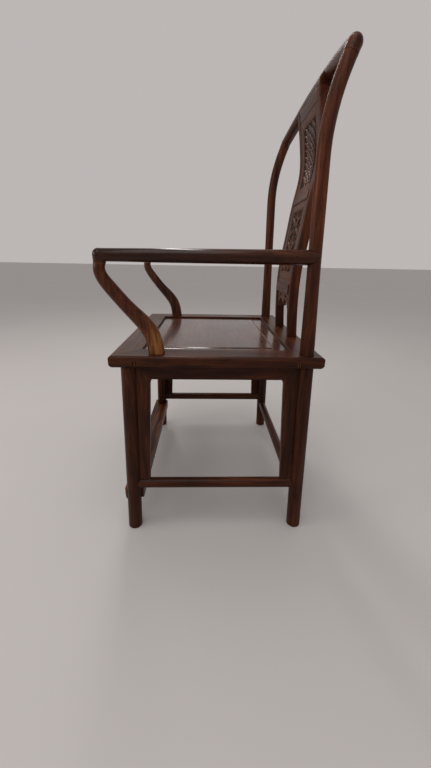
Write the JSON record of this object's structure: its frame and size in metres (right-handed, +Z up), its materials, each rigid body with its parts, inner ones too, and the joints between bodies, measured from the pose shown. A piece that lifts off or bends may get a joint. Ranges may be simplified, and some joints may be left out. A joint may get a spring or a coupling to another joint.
{
  "type": "hat chair",
  "caption": "Lacquered hardwood armchair with a framed S-curved splat, pipe-jointed crest rail and goosenecked arms, a framed panel seat and a stepping-rail footrest.",
  "frame": {"origin": "centre of the bounding box on the floor, under the seat", "axes": "+X to the sitter's left, -Y to the front, +Z up"},
  "size_m": [0.6288, 0.5304, 1.113],
  "materials": {
    "frame_wood": "dark red-brown hardwood under a glossy lacquer",
    "seat_panel_wood": "the same hardwood in a wide board, satin lacquer",
    "carved_wood": "carved hardwood, waxed"
  },
  "bodies": {
    "root": {"seat_front_rail": "frame_wood", "seat_back_rail": "frame_wood", "seat_side_rail_left": "frame_wood", "seat_side_rail_right": "frame_wood", "seat_panel": "seat_panel_wood", "seat_brace_left": "frame_wood", "seat_brace_right": "frame_wood", "front_leg_left": "frame_wood", "front_leg_right": "frame_wood", "back_post_left": "frame_wood", "back_post_right": "frame_wood", "arm_left": "frame_wood", "arm_right": "frame_wood", "arm_post_left": "frame_wood", "arm_post_right": "frame_wood", "crest_rail": "frame_wood", "footrest": "frame_wood", "footrest_apron": "frame_wood", "side_stretcher_left": "frame_wood", "side_stretcher_right": "frame_wood", "back_stretcher": "frame_wood", "side_apron_left": "frame_wood", "side_apron_right": "frame_wood", "side_board_front_left": "frame_wood", "side_board_front_right": "frame_wood", "side_board_back_left": "frame_wood", "side_board_back_right": "frame_wood", "front_apron": "frame_wood", "front_board_left": "frame_wood", "front_board_right": "frame_wood", "back_apron": "frame_wood", "splat_stile_left": "frame_wood", "splat_stile_right": "frame_wood", "splat_top_rail": "frame_wood", "splat_upper_divider": "frame_wood", "splat_lower_divider": "frame_wood", "splat_upper_panel": "carved_wood", "splat_middle_panel": "carved_wood", "splat_apron": "carved_wood"}
  },
  "joints": []
}
